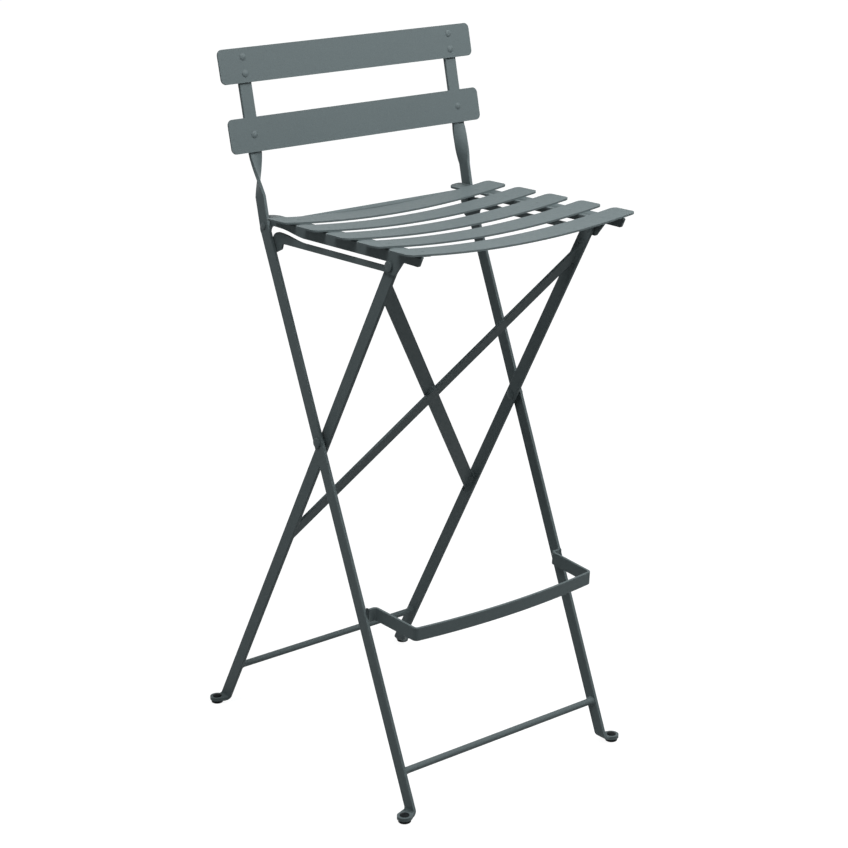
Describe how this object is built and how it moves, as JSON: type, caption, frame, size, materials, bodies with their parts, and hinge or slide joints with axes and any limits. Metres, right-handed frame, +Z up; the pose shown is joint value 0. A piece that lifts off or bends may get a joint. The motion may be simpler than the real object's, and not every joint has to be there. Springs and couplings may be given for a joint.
{
  "type": "folding bar stool",
  "caption": "Folding bar stool of flat steel bar with a slatted, dished seat, a low slatted backrest and a bowed footrest, painted dark grey-green.",
  "frame": {"origin": "on the floor, in the middle of the stool's width and depth", "axes": "+Z up, +Y to the back of the stool, +X to the right seen from the front"},
  "size_m": [0.445, 0.5132, 1.0278],
  "materials": {
    "painted_steel": "matte",
    "painted_fasteners": "matte",
    "black_plastic": "matte"
  },
  "bodies": {
    "back_frame": {"post_left": "painted_steel", "post_right": "painted_steel", "backrest_slat_upper": "painted_steel", "backrest_slat_lower": "painted_steel", "backrest_rivets": "painted_fasteners", "front_rod": "painted_steel", "footrest": "painted_steel", "main_pivot_rivets": "painted_fasteners", "main_pivot_spacers": "painted_steel", "seat_pivot_rivets": "painted_fasteners", "seat_pivot_washers": "painted_steel", "front_foot_plug_right": "black_plastic", "front_foot_plug_left": "black_plastic"},
    "cross_frame": {"crossing_leg_right": "painted_steel", "crossing_leg_left": "painted_steel", "rear_rod": "painted_steel", "brace_strap_front": "painted_steel", "brace_strap_rear": "painted_steel", "slot_pin_tails": "painted_fasteners", "rear_foot_plug_right": "black_plastic", "rear_foot_plug_left": "black_plastic"},
    "seat": {"seat_side_plate_right": "painted_steel", "seat_side_plate_left": "painted_steel", "seat_slat_1": "painted_steel", "seat_slat_2": "painted_steel", "seat_slat_3": "painted_steel", "seat_slat_4": "painted_steel", "seat_slat_5": "painted_steel", "seat_slat_rivets": "painted_fasteners", "seat_tie_rod": "painted_steel"},
    "slot_pins": {"slot_pin_right": "painted_fasteners", "slot_pin_left": "painted_fasteners"}
  },
  "joints": [
    {"name": "fold", "type": "hinge", "parent": "back_frame", "child": "cross_frame", "pos_m": [0, -0.03408, 0.503], "axis": [-1, 0, 0], "range_deg": [0, 45.4]},
    {"name": "seat_tilt", "type": "hinge", "parent": "back_frame", "child": "seat", "pos_m": [0, 0.08272, 0.7893], "axis": [-1, 0, 0], "range_deg": [0, 48.44]},
    {"name": "pin_slide", "type": "slide", "parent": "seat", "child": "slot_pins", "axis": [0, 1, 0.0025], "range_m": [0, 0.23887]}
  ],
  "couplings": [
    {"joint": "seat_tilt", "follows": "fold", "ratio": 1.0665},
    {"joint": "pin_slide", "follows": "fold", "m_per_rad": 0.30133}
  ]
}
